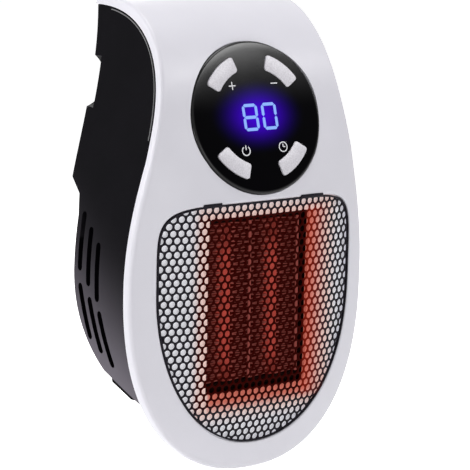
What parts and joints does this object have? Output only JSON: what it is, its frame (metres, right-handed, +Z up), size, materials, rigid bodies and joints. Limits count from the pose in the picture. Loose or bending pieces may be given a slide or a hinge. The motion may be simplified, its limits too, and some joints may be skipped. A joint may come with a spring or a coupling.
{
  "type": "plug-in fan heater",
  "caption": "Wall-plug fan heater: egg-shaped white front with a round control panel and mesh grille over a red heating core, black rear cover, swivelling plug.",
  "frame": {"origin": "centre of the plug disc's wall face, midway between the two blades", "axes": "+Z up, +Y into the wall, +X to the right for someone in the room who faces the heater"},
  "size_m": [0.1194, 0.0857, 0.2004],
  "materials": {
    "shell_white": "satin white with a faint lavender cast",
    "cover_black": "fine satin black",
    "panel_black": "polished black",
    "button_silver": "silvery white, satin",
    "mesh_black": "black enamel",
    "reflector_white": "white, heat resistant",
    "fin_metal": "bare folded strip, lit red by the heater",
    "heater_red": "red glow of the hot strips",
    "heat_plastic": "dark heat-resistant moulding",
    "fan_plastic": "dark satin",
    "steel": "plain",
    "brass": "plain, lightly brushed",
    "board_green": "solder mask",
    "part_blue": "moulded case",
    "display_smoke": "smoked",
    "lead_red": "silicone sleeve"
  },
  "bodies": {
    "plug": {"plug_disc": "cover_black", "plug_blade_left": "brass", "plug_blade_right": "brass", "plug_retainer": "cover_black", "contact_carrier": "heat_plastic", "plug_screw_lower": "steel", "plug_screw_upper": "steel"},
    "housing": {"front_shell": "shell_white", "rear_cover": "cover_black", "rocker_frame": "cover_black", "foot_strip_left": "cover_black", "cover_screw_top_left": "steel", "cover_screw_chin_left": "steel", "foot_strip_right": "cover_black", "cover_screw_top_right": "steel", "cover_screw_chin_right": "steel", "panel_disc": "panel_black", "tact_switch_plus": "heat_plastic", "tact_switch_minus": "heat_plastic", "tact_switch_power": "heat_plastic", "tact_switch_timer": "heat_plastic", "control_board": "board_green", "display_module": "display_smoke", "remote_receiver": "display_smoke", "grille_net": "mesh_black", "grille_frame": "mesh_black", "reflector_tray": "reflector_white", "air_duct": "heat_plastic", "core_holder_top": "heat_plastic", "core_holder_bottom": "heat_plastic", "core_divider": "fin_metal", "ceramic_strip_left": "heater_red", "core_side_plate_left": "fin_metal", "fin_stack_inner_left": "fin_metal", "fin_stack_outer_left": "fin_metal", "heater_terminal_left": "brass", "ceramic_strip_right": "heater_red", "core_side_plate_right": "fin_metal", "fin_stack_inner_right": "fin_metal", "fin_stack_outer_right": "fin_metal", "heater_terminal_right": "brass", "thermal_cutout": "steel", "fan_frame": "fan_plastic", "fan_motor": "steel", "fan_screw_left": "steel", "fan_screw_right": "steel", "power_board": "board_green", "heater_relay": "part_blue", "film_capacitor": "lead_red", "heater_lead_left": "lead_red", "heater_lead_right": "lead_red"},
    "fan": {"fan_impeller": "fan_plastic", "motor_shaft": "steel"},
    "rocker": {"rocker_switch": "panel_black"},
    "button_plus": {"button_plus": "button_silver"},
    "button_minus": {"button_minus": "button_silver"},
    "button_power": {"button_power": "button_silver"},
    "button_timer": {"button_timer": "button_silver"}
  },
  "joints": [
    {"name": "plug_swivel", "type": "hinge", "parent": "plug", "child": "housing", "pos_m": [0, 0, 0], "axis": [0, 1, 0], "range_deg": [-90, 90]},
    {"name": "fan_spin", "type": "hinge", "parent": "housing", "child": "fan", "pos_m": [0, -0.033, -0.08388], "axis": [0, 1, 0], "continuous": true},
    {"name": "rocker_tilt", "type": "hinge", "parent": "housing", "child": "rocker", "pos_m": [0.05096, -0.028, -0.028], "axis": [0, 1, 0], "range_deg": [-16, 0]},
    {"name": "press_plus", "type": "slide", "parent": "housing", "child": "button_plus", "axis": [0, 0.9613, -0.2756], "range_m": [0, 0.0005], "stiffness_N_per_m": 400, "springref_m": -0.001},
    {"name": "press_minus", "type": "slide", "parent": "housing", "child": "button_minus", "axis": [0, 0.9613, -0.2756], "range_m": [0, 0.0005], "stiffness_N_per_m": 400, "springref_m": -0.001},
    {"name": "press_power", "type": "slide", "parent": "housing", "child": "button_power", "axis": [0, 0.9613, -0.2756], "range_m": [0, 0.0005], "stiffness_N_per_m": 400, "springref_m": -0.001},
    {"name": "press_timer", "type": "slide", "parent": "housing", "child": "button_timer", "axis": [0, 0.9613, -0.2756], "range_m": [0, 0.0005], "stiffness_N_per_m": 400, "springref_m": -0.001}
  ]
}
